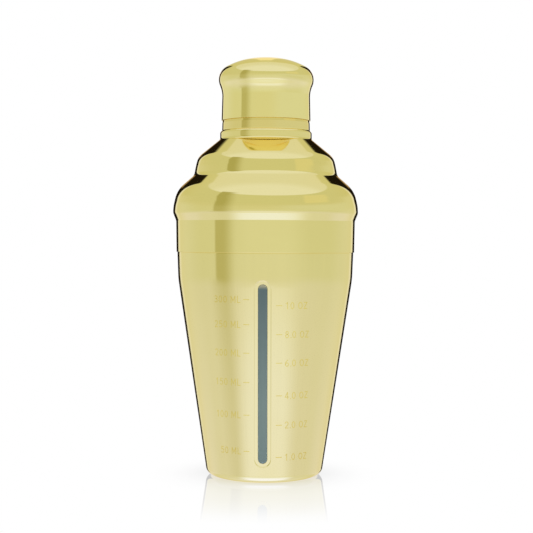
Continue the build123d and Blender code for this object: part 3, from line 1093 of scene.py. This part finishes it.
# bright lobe of floor: narrow near the horizon, wider low down
lobe_off = (azimuth - 4.0).abs()
lobe_reach = (-elevation.max(-75.0).min(-20.0) - 20.0) * 0.80
lobe = (lobe_off - lobe_reach).fade(off=58.0, on=20.0)
color = blend(lobe, sky_ramp(SIDES), sky_ramp(AHEAD))
color = blend(azimuth.abs().fade(off=86, on=136), color, sky_ramp(FAR))

# a lit panel to the right, level with the neck and cap
panel = (azimuth.fade(off=0, on=45) * elevation.fade(off=2.5, on=6)
         * elevation.fade(off=17, on=11) * 0.85)
color = blend(panel, color, seen(214, 206, 137))

# a small yellow card high on the right
card = (azimuth.fade(off=48, on=54) * azimuth.fade(off=92, on=82)
        * elevation.fade(off=17.5, on=20) * elevation.fade(off=30.5, on=27.5) * 0.9)
color = blend(card, color, seen(219, 204, 121))

# overhead softbox: a disc in a level plane, by where a ray meets it
safe_up = up.max(0.02)
plane_x, plane_y = right / safe_up, away / safe_up
box_x, box_y = plane_x - 0.10, plane_y + 0.40
softbox = ((box_x * box_x + box_y * box_y).math("SQRT").fade(off=1.30, on=1.21)
           * up.fade(off=0.02, on=0.06))
softbox_color = blend(plane_y.fade(off=-0.35, on=0.25), seen(230, 221, 164), seen(222, 212, 149))
color = blend(softbox, color, softbox_color)

# dark strip standing to the camera's left, crisper and stronger high up
high = elevation.fade(off=-15, on=-5)
strip_edge = (azimuth.fade(off=-69, on=-65.5) * high
              + azimuth.fade(off=-84, on=-54) * (-high + 1.0))
strip = (strip_edge * azimuth.fade(off=-36, on=-57)
         * (elevation.fade(off=-27, on=-7) * 0.80 + elevation.fade(off=-60, on=-26) * 0.20))
strip_color = blend(elevation.fade(off=4, on=18), seen(184, 172, 93), seen(173, 161, 78))
color = blend(strip * elevation.fade(off=43, on=39.5) * 0.97, color, strip_color)

# behind the object, in an upright plane: a lit edge on each side, a dark flag inside each,
# and a white gap in the middle
safe_away = away.max(0.02)
back_x, back_z = (right / safe_away).abs(), up / safe_away
behind = away.fade(off=0.02, on=0.06)
lit_edge = (back_x.fade(off=0.48, on=0.52) * back_x.fade(off=0.80, on=0.62)
            * back_z.fade(off=0.9, on=0.5) * back_z.fade(off=-0.9, on=-0.5) * behind)
color = blend(lit_edge, color, seen(233, 225, 176))
flag = ((back_z - back_x * 1.62).fade(off=0.06, on=-0.02) * back_x.fade(off=0.05, on=0.07)
        * (back_x - back_z.max(0.0) * 0.2).fade(off=0.54, on=0.49)
        * back_z.fade(off=0.95, on=0.85)
        * (back_z + back_x * 0.95).fade(off=-0.03, on=0.04) * behind)
color = blend(flag, color, (0.012, 0.009, 0.006))
# the flags' inner edges catch a warm light
fringe = (back_z.fade(off=0.32, on=0.14) * back_z.fade(off=0.015, on=0.05)
          * (back_z - back_x * 0.75).fade(off=-0.02, on=0.03) * flag)
color = blend(fringe, color, (0.62, 0.45, 0.26))
gap = (back_x.fade(off=0.07, on=0.05) * back_z.fade(off=0.95, on=0.85)
       * back_z.fade(off=-0.75, on=-0.6) * behind)
color = blend(gap, color, (1.0, 1.0, 1.0))

# seen directly, or in the floor's mirror, the surroundings are plain white
tent = add_node(sky, "Background", {"Color": color})
white = add_node(sky, "Background", {"Color": (1, 1, 1)})
rays = add_node(sky, "LightPath").outputs
plain = Number(rays["Is Camera Ray"]).max(Number(rays["Is Singular Ray"]))
mixed = add_node(sky, "MixShader", {0: plain.socket, 1: tent.outputs[0], 2: white.outputs[0]})
add_node(sky, "OutputWorld", {0: mixed.outputs[0]})

# ------------------------------------------------------------------ camera
CAMERA_TURN, CAMERA_ROLL = math.radians(1.55), math.radians(0.30)
CAMERA_DISTANCE, CAMERA_HEIGHT = 0.640, 0.1135         # metres

lens_data = bpy.data.cameras.new("camera")
lens_data.lens = 89.31
lens_data.sensor_width = 36.0
lens_data.clip_start = 0.01
lens_data.clip_end = 50
lens_data.shift_x = 0.0020262664
lens_data.shift_y = -0.051782364
camera = bpy.data.objects.new("camera", lens_data)
bpy.context.scene.collection.objects.link(camera)
bpy.context.scene.camera = camera

turn_x, turn_y = math.sin(CAMERA_TURN), math.cos(CAMERA_TURN)
forward = Vector((-turn_x, turn_y, 0))
level_right = Vector((turn_y, turn_x, 0))
vertical = Vector((0, 0, 1))
camera_right = level_right * math.cos(CAMERA_ROLL) + vertical * math.sin(CAMERA_ROLL)
camera_up = vertical * math.cos(CAMERA_ROLL) - level_right * math.sin(CAMERA_ROLL)
pose = Matrix((camera_right, camera_up, -forward)).transposed().to_4x4()
pose.translation = (CAMERA_DISTANCE * turn_x, -CAMERA_DISTANCE * turn_y, CAMERA_HEIGHT)
camera.matrix_world = pose

view = bpy.context.scene.view_settings
view.view_transform = "Standard"
view.look = "None"
view.exposure = 0.0
view.gamma = 1.0
